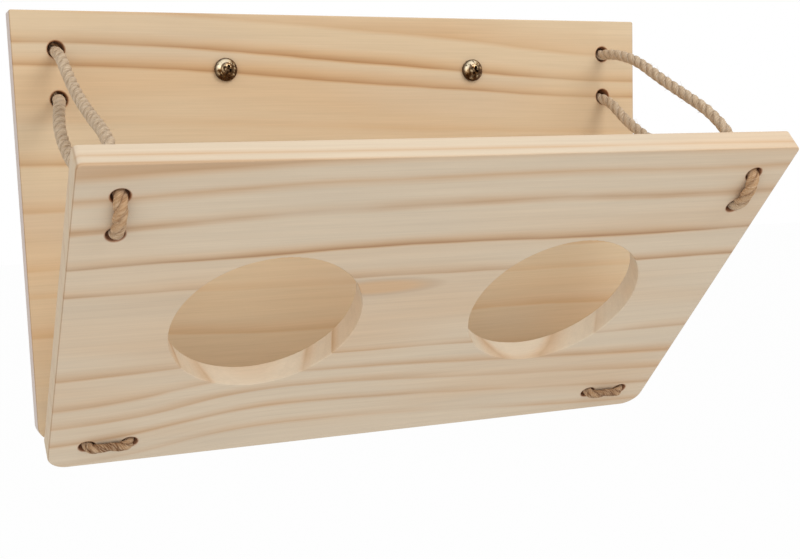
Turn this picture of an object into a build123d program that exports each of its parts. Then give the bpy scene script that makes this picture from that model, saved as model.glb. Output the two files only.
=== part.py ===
from build123d import *
import math
import os

# A feeder for small animals, made of two pine boards. The back board hangs upright, and the front
# board leans away from it, so that the two make a V-shaped rack. Animals feed through two round
# holes in the front board. Short rope ties hinge the boards together at the bottom, and a longer
# rope at each side stops the front board from falling further open.
#
# Millimetres. X runs to the right, Y to the back and Z up, seen by someone in front of the feeder.
# The origin lies on the back face of the back board, midway between the two hanging screws.

# Back board
BACK_WIDTH = 300.0
BACK_HEIGHT = 180.0
BACK_THICKNESS = 10.0
BACK_TOP_CORNER_RADIUS = 1.0
BACK_BOTTOM_CORNER_RADIUS = 6.0

# Front board
FRONT_END_SETBACK = 2.0  # how much shorter than the back board it is at each end
FRONT_HEIGHT = 180.0
FRONT_THICKNESS = 10.0
FRONT_TOP_CORNER_RADIUS = 2.5
FRONT_BOTTOM_CORNER_RADIUS = 9.0
FRONT_TILT = 45.0  # degrees from upright with the side ropes tight
FRONT_TAIL = 7.0  # how far the front board reaches below the line that it swings about
HINGE_CLEARANCE = 0.5  # between the front board's inner face and the back board's lower arris

# Both boards
ARRIS_RADIUS = 0.6  # sanded rounding along the boards' edges

# Feeding holes in the front board
FEED_HOLE_DIAMETER = 80.0
FEED_HOLE_SPACING = 132.0
FEED_HOLE_HEIGHT = 88.5  # above the front board's bottom edge
FEED_HOLE_ROUNDING = 0.5

# Rope and its holes
ROPE_DIAMETER = 5.0
ROPE_HOLE_CLEARANCE = 1.0  # all round
ROPE_HOLE_ROUNDING = 0.5
ROPE_HOLE_INSET = 18.0  # from the back board's ends to the side ropes
BACK_UPPER_HOLE_INSET = 16.0  # below the back board's top edge
BACK_HOLE_SPACING = 20.5  # between one side rope's two holes in the back board
FRONT_UPPER_HOLE_INSET = 15.0  # below the front board's top edge
FRONT_HOLE_SPACING = 19.0  # between one side rope's two holes in the front board
TIE_HOLE_SPACING = 18.0  # between the two holes of one bottom tie
FRONT_TIE_HOLE_HEIGHT = 14.5  # above the front board's bottom edge
BACK_TIE_HOLE_HEIGHT = 9.0  # above the back board's bottom edge
ROPE_STANDOFF = 3.4  # from the front board's face to the rope's centre, where the rope shows
ROPE_BEND_LEAD = 6.0  # how far outside a board the rope bends towards the other board
BEND_SHARE = 0.45  # share of the shorter run that a bend takes up
STITCH_BEND_RADIUS = 5.0  # where a rope turns over the front board's face
STITCH_TURN = 80.0  # degrees; only the bends of the stitches are this sharp

# How a side rope's two long strands stray from straight, going out from the upper hole in the back
# board and back to the lower one: the share of the way, and the rise above the straight line.
UPPER_STRAND_BOW = [(0.26, 2.4), (0.53, 3.6), (0.80, 2.2)]
LOWER_STRAND_SAG = [(0.28, -2.5), (0.59, -4.0), (0.83, -3.0)]

# Stopper knots at the rope ends, behind the back board
KNOT_SEAT = 1.2  # how far a knot's flat face bears on the board round its hole
KNOT_SEAT_ROUNDING = 2.0
KNOT_END_ROUNDING = 4.0
KNOT_LENGTH = 11.0
KNOT_TAIL_LENGTH = 10.0

# Hanging screws
SCREW_DIAMETER = 5.0
SCREW_LENGTH = 30.0
SCREW_SPACING = 120.0
SCREW_INSET = 24.0  # below the back board's top edge
SCREW_HEAD_DIAMETER = 10.0
SCREW_HEAD_HEIGHT = 3.8
SCREW_HEAD_SIDE = 1.3  # height of the head's straight side
SCREW_HOLE_CLEARANCE = 0.2
SCREW_TIP_CHAMFER = 0.5
CROSS_RECESS_WIDTH = 5.3
CROSS_RECESS_SLOT = 1.2
CROSS_RECESS_DEPTH = 2.1

# Washers and wing nuts behind the board
CLAMP_GAP = 6.0  # room for cage wire between the board and the washers, nuts loose
WASHER_DIAMETER = 25.0
WASHER_THICKNESS = 1.5
WASHER_CLEARANCE = 0.08  # all round the screw
NUT_SEAT_GAP = 0.1  # between a washer and its nut
NUT_THREAD_CLEARANCE = 0.05  # all round the screw
NUT_HUB_DIAMETER = 10.0
NUT_HUB_TOP_DIAMETER = 8.5
NUT_HEIGHT = 6.0
WING_SPAN = 26.0
WING_HEIGHT = 13.0
WING_ROOT_RADIUS = 2.5
WING_LOBE_RADIUS = 4.0
WING_THICKNESS = 2.4
WING_EDGE_RADIUS = 0.7

# Places worked out from the sizes above
FRONT_WIDTH = BACK_WIDTH - 2 * FRONT_END_SETBACK
OUTER_ROPE_X = BACK_WIDTH / 2 - ROPE_HOLE_INSET
INNER_TIE_X = OUTER_ROPE_X - TIE_HOLE_SPACING
BACK_UPPER_HOLE_HEIGHT = BACK_HEIGHT - BACK_UPPER_HOLE_INSET
BACK_LOWER_HOLE_HEIGHT = BACK_UPPER_HOLE_HEIGHT - BACK_HOLE_SPACING
FRONT_UPPER_HOLE_HEIGHT = FRONT_HEIGHT - FRONT_UPPER_HOLE_INSET
FRONT_LOWER_HOLE_HEIGHT = FRONT_UPPER_HOLE_HEIGHT - FRONT_HOLE_SPACING
SCREW_HEIGHT = BACK_HEIGHT - SCREW_INSET
BACK_FRONT_FACE_Y = -BACK_THICKNESS
BACK_BOTTOM_Z = -SCREW_HEIGHT
ROPE_RADIUS = ROPE_DIAMETER / 2
ROPE_HOLE_RADIUS = ROPE_RADIUS + ROPE_HOLE_CLEARANCE
KNOT_RADIUS = ROPE_HOLE_RADIUS + ROPE_HOLE_ROUNDING + KNOT_SEAT + KNOT_SEAT_ROUNDING
SCREW_RADIUS = SCREW_DIAMETER / 2
WASHER_Y = CLAMP_GAP
NUT_Y = WASHER_Y + WASHER_THICKNESS + NUT_SEAT_GAP
TILT = math.radians(FRONT_TILT)
HINGE = Vector(0, BACK_FRONT_FACE_Y, BACK_BOTTOM_Z)
UP_THE_FRONT = Vector(0, -math.sin(TILT), math.cos(TILT))
OUT_OF_THE_FRONT = Vector(0, -math.cos(TILT), -math.sin(TILT))
FRONT_FOOT = (
    HINGE
    - UP_THE_FRONT * FRONT_TAIL
    + OUT_OF_THE_FRONT * (HINGE_CLEARANCE + FRONT_THICKNESS)
)

# On each board's plane, x runs across, y up the board from its bottom edge, and z out of the face
# that shows. Both planes start at the middle of the bottom edge of that face.
BACK_PLANE = Plane(origin=HINGE, x_dir=(1, 0, 0), z_dir=(0, -1, 0))
FRONT_PLANE = Plane(origin=FRONT_FOOT, x_dir=(1, 0, 0), z_dir=OUT_OF_THE_FRONT)

SIDES = {"left": -1, "right": 1}


def save(part, name):
    part.label = name
    export_step(part, f"parts/{name}.step")
    print(f"{name}: {len(part.solids())} solid(s), {part.volume:.0f} mm3")


def slab(width, height, thickness, top_radius, bottom_radius):
    """A board with rounded corners and sanded arrises. Its face lies on the XY plane."""
    corners = [
        (-width / 2, 0),
        (width / 2, 0),
        (width / 2, height),
        (-width / 2, height),
    ]
    radii = [bottom_radius, bottom_radius, top_radius, top_radius]
    outline = FilletPolyline(*corners, radius=radii, close=True)
    blank = extrude(make_face(outline), amount=-thickness)
    faces = blank.edges().group_by(Axis.Z)
    return fillet(faces[0] + faces[-1], ARRIS_RADIUS)


def drilled(board, places, radius, thickness, rounding):
    """The board with round holes through it, their mouths rounded over."""
    for x, y in places:
        board -= Pos(x, y, -thickness / 2) * Cylinder(radius, 2 * thickness)
    if rounding:
        circles = board.edges().filter_by(GeomType.CIRCLE)
        mouths = circles.filter_by(lambda e: abs(e.radius - radius) < 0.001)
        board = fillet(mouths, rounding)
    return board


def side_hole_places(upper, lower):
    return [(s * OUTER_ROPE_X, y) for s in SIDES.values() for y in (upper, lower)]


def tie_hole_places(height):
    return [(s * x, height) for s in SIDES.values() for x in (OUTER_ROPE_X, INNER_TIE_X)]


def make_back_board():
    board = slab(
        BACK_WIDTH,
        BACK_HEIGHT,
        BACK_THICKNESS,
        BACK_TOP_CORNER_RADIUS,
        BACK_BOTTOM_CORNER_RADIUS,
    )
    ropes = side_hole_places(BACK_UPPER_HOLE_HEIGHT, BACK_LOWER_HOLE_HEIGHT)
    ropes += tie_hole_places(BACK_TIE_HOLE_HEIGHT)
    board = drilled(board, ropes, ROPE_HOLE_RADIUS, BACK_THICKNESS, ROPE_HOLE_ROUNDING)
    screws = [(s * SCREW_SPACING / 2, SCREW_HEIGHT) for s in SIDES.values()]
    board = drilled(board, screws, SCREW_RADIUS + SCREW_HOLE_CLEARANCE, BACK_THICKNESS, 0)
    return BACK_PLANE * board


def make_front_board():
    board = slab(
        FRONT_WIDTH,
        FRONT_HEIGHT,
        FRONT_THICKNESS,
        FRONT_TOP_CORNER_RADIUS,
        FRONT_BOTTOM_CORNER_RADIUS,
    )
    feeds = [(s * FEED_HOLE_SPACING / 2, FEED_HOLE_HEIGHT) for s in SIDES.values()]
    board = drilled(board, feeds, FEED_HOLE_DIAMETER / 2, FRONT_THICKNESS, FEED_HOLE_ROUNDING)
    ropes = side_hole_places(FRONT_UPPER_HOLE_HEIGHT, FRONT_LOWER_HOLE_HEIGHT)
    ropes += tie_hole_places(FRONT_TIE_HOLE_HEIGHT)
    board = drilled(board, ropes, ROPE_HOLE_RADIUS, FRONT_THICKNESS, ROPE_HOLE_ROUNDING)
    return FRONT_PLANE * board


def on_back(x, up, out):
    return BACK_PLANE.from_local_coords(Vector(x, up, out))


def on_front(x, up, out):
    return FRONT_PLANE.from_local_coords(Vector(x, up, out))


def bend_radii(points):
    """The largest bend that each corner of a route has room for, but a tight one at a stitch."""
    radii = []
    for before, corner, after in zip(points, points[1:], points[2:]):
        run_in = corner - before
        run_out = after - corner
        turn = run_in.get_angle(run_out)
        shorter = min(run_in.length, run_out.length)
        radius = BEND_SHARE * shorter / math.tan(math.radians(turn) / 2)
        if turn > STITCH_TURN:
            radius = min(radius, STITCH_BEND_RADIUS)
        radii.append(radius)
    return radii


def rope_along(points, name):
    """A plain tube along straight runs joined by arcs."""
    radii = bend_radii(points)
    path = FilletPolyline(*points, radius=radii)
    section = Plane(origin=path @ 0, z_dir=path % 0) * Circle(ROPE_RADIUS)
    rope = sweep(section, path=path)
    expected = math.pi * ROPE_RADIUS**2 * path.length
    print(f"{name}: length {path.length:.1f} mm, bends " + ", ".join(f"{r:.1f}" for r in radii))
    print(f"{name}: volume over section times length {rope.volume / expected:.5f}")
    return rope


def strand(start, end, strays):
    """A long strand's points: its ends, and the places where it strays from straight."""
    between = [start + (end - start) * share + Vector(0, 0, rise) for share, rise in strays]
    return [start, *between, end]


def side_rope_route(x):
    """Behind the back board, across to the front board, over its face and back again."""
    upper = strand(
        on_back(x, BACK_UPPER_HOLE_HEIGHT, ROPE_BEND_LEAD),
        on_front(x, FRONT_UPPER_HOLE_HEIGHT, -FRONT_THICKNESS - ROPE_BEND_LEAD),
        UPPER_STRAND_BOW,
    )
    lower = strand(
        on_front(x, FRONT_LOWER_HOLE_HEIGHT, -FRONT_THICKNESS - ROPE_BEND_LEAD),
        on_back(x, BACK_LOWER_HOLE_HEIGHT, ROPE_BEND_LEAD),
        LOWER_STRAND_SAG,
    )
    return [
        on_back(x, BACK_UPPER_HOLE_HEIGHT, -BACK_THICKNESS),
        *upper,
        on_front(x, FRONT_UPPER_HOLE_HEIGHT, ROPE_STANDOFF),
        on_front(x, FRONT_LOWER_HOLE_HEIGHT, ROPE_STANDOFF),
        *lower,
        on_back(x, BACK_LOWER_HOLE_HEIGHT, -BACK_THICKNESS),
    ]


def tie_bend(x):
    """Where the axis of a tie hole in the front board meets that of its hole in the back board."""
    start = on_front(x, FRONT_TIE_HOLE_HEIGHT, -FRONT_THICKNESS)
    level = on_back(x, BACK_TIE_HOLE_HEIGHT, 0).Z
    reach = (level - start.Z) / -OUT_OF_THE_FRONT.Z
    return start - OUT_OF_THE_FRONT * reach


def tie_route(outer_x, inner_x):
    """Through both boards, along the front board's face and back through both boards."""
    return [
        on_back(outer_x, BACK_TIE_HOLE_HEIGHT, -BACK_THICKNESS),
        tie_bend(outer_x),
        on_front(outer_x, FRONT_TIE_HOLE_HEIGHT, ROPE_STANDOFF),
        on_front(inner_x, FRONT_TIE_HOLE_HEIGHT, ROPE_STANDOFF),
        tie_bend(inner_x),
        on_back(inner_x, BACK_TIE_HOLE_HEIGHT, -BACK_THICKNESS),
    ]


def rod(radius, length):
    """A round bar along +Y from the origin."""
    return Cylinder(
        radius, length, rotation=(-90, 0, 0), align=(Align.CENTER, Align.CENTER, Align.MIN)
    )


def make_knot(place):
    """A stopper knot with its cut tail, behind the back board, on the axis of a rope hole."""
    barrel = rod(KNOT_RADIUS, KNOT_LENGTH)
    barrel = fillet(barrel.edges().sort_by(Axis.Y)[0], KNOT_SEAT_ROUNDING)
    barrel = fillet(barrel.edges().sort_by(Axis.Y)[-1], KNOT_END_ROUNDING)
    middle = KNOT_LENGTH / 2
    tail = Pos(0, middle, 0) * rod(ROPE_RADIUS, KNOT_LENGTH + KNOT_TAIL_LENGTH - middle)
    return Location(place) * (barrel + tail)


def make_screw():
    """A pan-head screw with a cross recess. Its axis is Y, and its head seats at y = 0."""
    rim = SCREW_HEAD_DIAMETER / 2
    dome_height = SCREW_HEAD_HEIGHT - SCREW_HEAD_SIDE
    dome_radius = (rim**2 + dome_height**2) / (2 * dome_height)
    half_rim = rim / 2
    drop = dome_radius - math.sqrt(dome_radius**2 - half_rim**2)
    dome_middle = (half_rim, -SCREW_HEAD_HEIGHT + drop)
    head_profile = make_face(
        Polyline((0, -SCREW_HEAD_HEIGHT), (0, 0), (rim, 0), (rim, -SCREW_HEAD_SIDE))
        + ThreePointArc((rim, -SCREW_HEAD_SIDE), dome_middle, (0, -SCREW_HEAD_HEIGHT))
    )
    arm = Box(CROSS_RECESS_WIDTH, 2 * CROSS_RECESS_DEPTH, CROSS_RECESS_SLOT)
    crossing_arm = Box(CROSS_RECESS_SLOT, 2 * CROSS_RECESS_DEPTH, CROSS_RECESS_WIDTH)
    recess = Pos(0, -SCREW_HEAD_HEIGHT, 0) * (arm + crossing_arm)
    head = revolve(head_profile, Axis.Y) - recess
    shank = rod(SCREW_RADIUS, SCREW_LENGTH)
    tip = shank.edges().sort_by(Axis.Y)[-1]
    shank = chamfer(tip, SCREW_TIP_CHAMFER)
    return head + shank


def make_washer():
    bore = SCREW_RADIUS + WASHER_CLEARANCE
    ring = Circle(WASHER_DIAMETER / 2) - Circle(bore)
    return extrude(Plane.XZ * ring, amount=-WASHER_THICKNESS)


def make_wing_nut():
    """A wing nut on the Y axis. Its seat lies at y = 0, and its wings reach out along X."""
    hub_radius = NUT_HUB_DIAMETER / 2
    hub = revolve(
        make_face(
            Polyline(
                (0, 0),
                (hub_radius, 0),
                (NUT_HUB_TOP_DIAMETER / 2, NUT_HEIGHT),
                (0, NUT_HEIGHT),
                close=True,
            )
        ),
        Axis.Y,
    )
    lobe_x = WING_SPAN / 2 - WING_LOBE_RADIUS
    lobe_y = WING_HEIGHT - WING_LOBE_RADIUS
    nut = hub
    for side in SIDES.values():
        root = Pos(side * hub_radius / 2, NUT_HEIGHT / 2) * Circle(WING_ROOT_RADIUS)
        lobe = Pos(side * lobe_x, lobe_y) * Circle(WING_LOBE_RADIUS)
        wing = extrude(make_hull(root.edges() + lobe.edges()), amount=WING_THICKNESS / 2, both=True)
        wing = fillet(wing.edges().filter_by(Plane.XY), WING_EDGE_RADIUS)
        nut += wing
    bore = Cylinder(SCREW_RADIUS + NUT_THREAD_CLEARANCE, 3 * WING_HEIGHT, rotation=(90, 0, 0))
    return nut - bore


os.makedirs("parts", exist_ok=True)

save(make_back_board(), "back_board")
save(make_front_board(), "front_board")

for side, sign in SIDES.items():
    rope_x = sign * OUTER_ROPE_X
    inner_x = sign * INNER_TIE_X
    save(rope_along(side_rope_route(rope_x), f"{side}_side_rope"), f"{side}_side_rope")
    save(rope_along(tie_route(rope_x, inner_x), f"{side}_bottom_tie"), f"{side}_bottom_tie")
    knots = {
        "side_rope_upper_knot": (rope_x, BACK_UPPER_HOLE_HEIGHT),
        "side_rope_lower_knot": (rope_x, BACK_LOWER_HOLE_HEIGHT),
        "bottom_tie_outer_knot": (rope_x, BACK_TIE_HOLE_HEIGHT),
        "bottom_tie_inner_knot": (inner_x, BACK_TIE_HOLE_HEIGHT),
    }
    for name, (x, up) in knots.items():
        save(make_knot(on_back(x, up, -BACK_THICKNESS)), f"{side}_{name}")

    screw_x = sign * SCREW_SPACING / 2
    save(Pos(screw_x, BACK_FRONT_FACE_Y, 0) * make_screw(), f"{side}_hanging_screw")
    save(Pos(screw_x, WASHER_Y, 0) * make_washer(), f"{side}_washer")
    save(Pos(screw_x, NUT_Y, 0) * make_wing_nut(), f"{side}_wing_nut")
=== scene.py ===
# %% [markdown]
# # A small-animal feeder made of two pine boards
# One board hangs upright and the other leans away from it. Ropes through drilled holes hold them.
# This lesson dresses a finished construction model. The model is loaded first and never moved,
# so every new piece is made in metres at the place where it belongs.

# %% Load the construction model
import math
import random
import bmesh
import bpy
import numpy as np
from mathutils import Euler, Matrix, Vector


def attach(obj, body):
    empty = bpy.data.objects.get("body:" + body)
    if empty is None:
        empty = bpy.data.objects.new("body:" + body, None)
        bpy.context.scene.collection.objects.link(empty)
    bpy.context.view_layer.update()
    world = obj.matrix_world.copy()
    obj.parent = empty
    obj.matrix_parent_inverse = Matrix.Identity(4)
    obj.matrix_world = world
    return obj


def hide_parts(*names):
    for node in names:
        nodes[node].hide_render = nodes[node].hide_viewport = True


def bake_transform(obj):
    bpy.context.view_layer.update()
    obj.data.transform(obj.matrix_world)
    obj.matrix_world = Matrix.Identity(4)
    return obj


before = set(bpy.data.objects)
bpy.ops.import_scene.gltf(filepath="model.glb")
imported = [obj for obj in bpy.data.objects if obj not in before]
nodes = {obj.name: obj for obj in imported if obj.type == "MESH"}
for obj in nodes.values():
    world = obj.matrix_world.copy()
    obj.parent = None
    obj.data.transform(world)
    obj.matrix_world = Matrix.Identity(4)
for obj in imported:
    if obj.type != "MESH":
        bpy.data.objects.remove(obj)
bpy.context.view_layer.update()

MM = 0.001
print("pieces in the model:", len(nodes))

# %% [markdown]
# ## Where the camera stands
# A picture of a real thing can only be matched from the same place, which was worked out from the
# boards' corners and holes. A long lens, shifted a little, keeps the whole feeder in the picture.

# %% Camera
CAMERA_PLACE = Vector((-0.21914, -0.57967, -0.04509))
CAMERA_AIM = Vector((0.00657, -0.06, -0.12498))
CAMERA_ROLL = 1.675
CAMERA_LENS = 58.926
CAMERA_SHIFT = (-0.0232, 0.0915)

bpy.ops.object.select_all(action="DESELECT")
bpy.ops.object.camera_add(location=CAMERA_PLACE)
camera = bpy.context.object
camera.name = "camera"
look = (CAMERA_AIM - CAMERA_PLACE).to_track_quat("-Z", "Y").to_matrix()
roll = Euler((0, 0, -math.radians(CAMERA_ROLL))).to_matrix()
camera.rotation_euler = (look @ roll).to_euler()
camera.data.lens = CAMERA_LENS
camera.data.shift_x, camera.data.shift_y = CAMERA_SHIFT
bpy.context.scene.camera = camera
print("camera at", [round(v, 3) for v in camera.location])

# %% [markdown]
# ## The ropes
# Each rope is three strands laid round each other. A tube with strands painted on it would have a
# straight edge, and a real rope's edge is scalloped. So every strand is a mesh that winds round the
# rope's middle line.
#
# The middle line is a smooth curve that a few points pull into shape: out of a hole in the back
# board, across to the front board, through it, over its face and back again. Blender works the curve
# out, and the points along it are read back to lay the strands on. No two hand-threaded ropes hang
# alike, so the left one's lower run swings outwards, and the right one's upper run bows up.

# %% The ropes' size and route
ROPE_DIAMETER = 5 * MM
ROPE_RADIUS = ROPE_DIAMETER / 2
ROPE_X = 0.132  # the side ropes' holes, and the outer holes of the bottom ties
INNER_X = 0.114

# Each run between the boards: (x, y, z) from the back board's hole to the front board's.
LEFT_UPPER = [
    (-0.1320, -0.0150, 0.0072),
    (-0.1318, -0.0330, -0.0034),
    (-0.1314, -0.0560, -0.0152),
    (-0.1310, -0.0823, -0.0240),
    (-0.1310, -0.1000, -0.0292),
    (-0.1314, -0.1122, -0.0338),
]
RIGHT_UPPER = [
    (0.132, -0.0160, 0.0078),
    (0.132, -0.0300, 0.0054),
    (0.132, -0.0430, 0.0016),
    (0.132, -0.0600, -0.0072),
    (0.132, -0.0800, -0.0158),
    (0.132, -0.1040, -0.0272),
]
LEFT_LOWER = [
    (-0.1325, -0.0150, -0.0125),
    (-0.1350, -0.0290, -0.0162),
    (-0.1382, -0.0450, -0.0240),
    (-0.1392, -0.0600, -0.0318),
    (-0.1390, -0.0780, -0.0398),
    (-0.1366, -0.0915, -0.0462),
]
RIGHT_LOWER = [
    (0.132, -0.0140, -0.0131),
    (0.132, -0.0300, -0.0246),
    (0.132, -0.0522, -0.0354),
    (0.132, -0.0796, -0.0450),
]


def side_rope_points(x, upper, lower):
    """Through the back board, round the front board's face between its two holes, and back."""
    over_the_face = [
        (x, -0.117834, -0.040388),
        (x, -0.123065, -0.045625),
        (x, -0.131197, -0.053757),
        (x, -0.117763, -0.067187),
        (x, -0.109631, -0.059055),
        (x, -0.104399, -0.053823),
    ]
    return [(x, 0, 0.008), *upper, *over_the_face, *reversed(lower), (x, 0, -0.0125)]


def tie_points(side):
    """Through both boards, close along the front face, and back through both."""
    outer, inner = side * ROPE_X, side * INNER_X
    through = [
        (0, -0.147),
        (-0.011607, -0.147),
        (-0.016295, -0.151688),
        (-0.024425, -0.159818),
    ]
    way_in = [(outer, y, z) for y, z in through]
    way_out = [(inner, y, z) for y, z in reversed(through)]
    return [*way_in, ((outer + inner) / 2, -0.024779, -0.158758), *way_out]


def smooth_line(points):
    """The points along the smooth curve that has these points as its control points."""
    curve = bpy.data.curves.new("route", "CURVE")
    curve.dimensions = "3D"
    curve.resolution_u = 64
    spline = curve.splines.new("NURBS")
    spline.points.add(len(points) - 1)
    for place, point in zip(spline.points, points):
        place.co = (*point, 1)
    spline.order_u = 3
    spline.use_endpoint_u = True
    holder = bpy.data.objects.new("route", curve)
    bpy.context.collection.objects.link(holder)
    bpy.context.view_layer.update()
    line = bpy.data.meshes.new_from_object(holder)
    places = np.array([v.co for v in line.vertices])
    bpy.data.objects.remove(holder)
    bpy.data.meshes.remove(line)
    bpy.data.curves.remove(curve)
    return places


def steps_along(line):
    """How far along the line each of its points is."""
    return np.r_[0, np.cumsum(np.linalg.norm(np.diff(line, axis=0), axis=1))]


def even_steps(line, step):
    """The line again, with its points the same distance apart."""
    line = line[np.r_[True, np.diff(steps_along(line)) > 1e-9]]
    along = steps_along(line)
    marks = np.linspace(0, along[-1], max(2, round(along[-1] / step) + 1))
    return np.stack([np.interp(marks, along, line[:, i]) for i in range(3)], 1)


RING_STEP = 0.6 * MM
routes = {
    "left_side_rope": side_rope_points(-ROPE_X, LEFT_UPPER, LEFT_LOWER),
    "right_side_rope": side_rope_points(ROPE_X, RIGHT_UPPER, RIGHT_LOWER),
    "left_bottom_tie": tie_points(-1),
    "right_bottom_tie": tie_points(1),
}
rope_lines = {}
for name, route in routes.items():
    rope_lines[name] = even_steps(smooth_line(route), RING_STEP)
    print(name, f"{steps_along(rope_lines[name])[-1]:.4f} m")

# %% [markdown]
# A strand needs to know which way is sideways at every point of the line. If that direction were
# taken from the line's own bend, it would flip wherever the line is straight. Carrying one
# direction along the line, and straightening it a little at each step, keeps it steady.
#
# Every corner also remembers where it is on its strand, how deep in the rope it lies and how brown
# it is. The rope's finish reads those later.

# %% Laying strands along a line
ROPE_LAY = 17 * MM  # a strand goes once round the rope in this length
STRANDS = 3
STRAND_RADIUS = 1.65 * MM
STRAND_OFFSET = 0.82 * MM  # from the rope's middle line to a strand's
YARNS = 9  # ridges round each strand
YARN_DEPTH = 0.045
YARN_TWIST = 2.4  # turns of a yarn round its strand for each turn of the strand
RING_SIDES = 26


def steady_sides(line):
    """At each point of the line, its direction and two directions square to it."""
    ahead = np.gradient(line, axis=0)
    ahead /= np.linalg.norm(ahead, axis=1)[:, None]
    carried = np.array([1.0, 0, 0]) if abs(ahead[0][0]) < 0.9 else np.array([0, 0, 1.0])
    across = np.zeros_like(line)
    for i, direction in enumerate(ahead):
        carried = carried - direction * (carried @ direction)
        carried /= np.linalg.norm(carried)
        across[i] = carried
    return ahead, across, np.cross(ahead, across)


def strand_mesh(core, middle, swirl, radius, tint, sides=RING_SIDES, ridge=YARN_DEPTH):
    """One closed strand: its corners, its faces, and what each corner stands for."""
    across, up = steady_sides(middle)[1:]
    angles = np.linspace(0, 2 * math.pi, sides, endpoint=False)
    ridges = 1 + ridge * np.cos(YARNS * (angles[None, :] + swirl[:, None]))
    reach = (radius[:, None] * ridges)[:, :, None]
    cos, sin = np.cos(angles)[None, :, None], np.sin(angles)[None, :, None]
    corners = middle[:, None, :] + reach * (across[:, None, :] * cos + up[:, None, :] * sin)
    count = len(middle)
    faces = []
    for i in range(count - 1):
        a, b = i * sides, (i + 1) * sides
        for j in range(sides):
            k = (j + 1) % sides
            faces.append((a + j, a + k, b + k, b + j))
    faces.append(tuple(reversed(range(sides))))
    faces.append(tuple(range((count - 1) * sides, count * sides)))
    ahead = steady_sides(core)[0]
    spoke = corners - core[:, None, :]
    spoke -= ahead[:, None, :] * np.sum(spoke * ahead[:, None, :], axis=2)[:, :, None]
    facts = {
        "around": np.tile(angles / (2 * math.pi), count),
        "along": np.repeat(steps_along(middle), sides),
        "tint": np.full(count * sides, tint),
        "depth": np.linalg.norm(spoke, axis=2).ravel() / ROPE_RADIUS,
    }
    return corners.reshape(-1, 3), faces, facts


def join_parts(name, parts):
    """One mesh object out of several sets of corners, faces and facts."""
    faces = []
    first = 0
    for corners, part_faces, facts in parts:
        faces += [tuple(first + i for i in face) for face in part_faces]
        first += len(corners)
    mesh = bpy.data.meshes.new(name)
    mesh.from_pydata(np.concatenate([part[0] for part in parts]).tolist(), [], faces)
    for label in parts[0][2]:
        layer = mesh.attributes.new(label, "FLOAT", "POINT")
        values = np.concatenate([part[2][label] for part in parts])
        layer.data.foreach_set("value", values.astype(np.float32))
    mesh.polygons.foreach_set("use_smooth", [True] * len(mesh.polygons))
    piece = bpy.data.objects.new(name, mesh)
    bpy.context.collection.objects.link(piece)
    return piece


# %% [markdown]
# Jute sheds: short fibres stand up all along the rope. Hair particles would be lost when the model
# is exported, so each fibre is a thin closed tube that starts inside the rope and bends outwards.

# %% Loose fibres
FIBRE_RADIUS = 0.07 * MM
FIBRE_SPACING = 3.2 * MM
FIBRE_REACH = 1.5 * MM  # how far the longest stands out
SWELL_HALF = 8 * MM  # each way from a rope's middle
BROWN_HALF = 14 * MM
FRAY_LENGTH = 7 * MM


def loose_fibres(line, draw):
    """Short thin tubes that leave the rope's surface."""
    ahead, across, up = steady_sides(line)
    length = steps_along(line)[-1]
    fibres = []
    for _ in range(int(length / FIBRE_SPACING)):
        spot = draw.randrange(6, len(line) - 6)
        angle = draw.uniform(0, 2 * math.pi)
        out = across[spot] * math.cos(angle) + up[spot] * math.sin(angle)
        side = across[spot] * -math.sin(angle) + up[spot] * math.cos(angle)
        reach = draw.uniform(0.3, 1.0) * FIBRE_REACH
        run = draw.uniform(2.0, 5.0) * MM * draw.choice((-1, 1))
        sway = draw.uniform(-1.2, 1.2) * MM
        share = np.linspace(0, 1, 6)[:, None]
        start = line[spot] + out * 0.8 * ROPE_RADIUS
        rise = 0.2 * ROPE_RADIUS * share + reach * share**2
        middle = start + out * rise + ahead[spot] * run * share + side * sway * share**2
        core = np.repeat(line[spot][None, :], 6, axis=0) + ahead[spot] * run * share
        radius = FIBRE_RADIUS * (1 - 0.6 * share[:, 0])
        fibres.append(strand_mesh(core, middle, np.zeros(6), radius, draw.random(), 4, 0))
    return fibres


def rope_piece(name, line, seed, swell=0.0, frayed=False):
    """A three-strand rope along the line. It can swell in the middle and fray at its end.

    Its middle is browner.
    """
    steps = steps_along(line)
    across, up = steady_sides(line)[1:]
    draw = random.Random(seed)
    spread = 1 + swell * np.exp(-(((steps - steps[-1] / 2) / SWELL_HALF) ** 2))
    brown = np.exp(-(((steps - steps[-1] / 2) / BROWN_HALF) ** 4))
    thin = np.minimum(spread, 1)
    if frayed:
        near_end = np.clip(1 - (steps[-1] - steps) / FRAY_LENGTH, 0, 1)
        spread = spread + 0.75 * near_end**2
        thin = 1 - 0.35 * near_end**3
    parts = []
    first_turn = draw.uniform(0, 2 * math.pi)
    for strand in range(STRANDS):
        turn = first_turn + 2 * math.pi * (steps / ROPE_LAY + strand / STRANDS)
        offset = (STRAND_OFFSET * spread)[:, None]
        sideways = across * np.cos(turn)[:, None] + up * np.sin(turn)[:, None]
        wobble = draw.uniform(0, 2 * math.pi)
        radius = STRAND_RADIUS * thin * (1 + 0.03 * np.sin(steps / (5 * MM) + wobble))
        middle = line + offset * sideways
        parts.append(strand_mesh(line, middle, YARN_TWIST * turn, radius, draw.random()))
        parts[-1][2]["brown"] = np.repeat(brown, RING_SIDES)
    for fibre in loose_fibres(line, draw):
        fibre[2]["brown"] = np.zeros(len(fibre[0]))
        parts.append(fibre)
    return join_parts(name, parts)


FACE_SWELL = {"side_rope": 0.15, "bottom_tie": -0.25}  # looser, or pulled tight, on the face
ropes = {}
for seed, (name, line) in enumerate(rope_lines.items()):
    ropes[name] = rope_piece("jute_" + name, line, seed, FACE_SWELL[name.split("_", 1)[1]])
    print(name, len(ropes[name].data.polygons), "faces")

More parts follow.
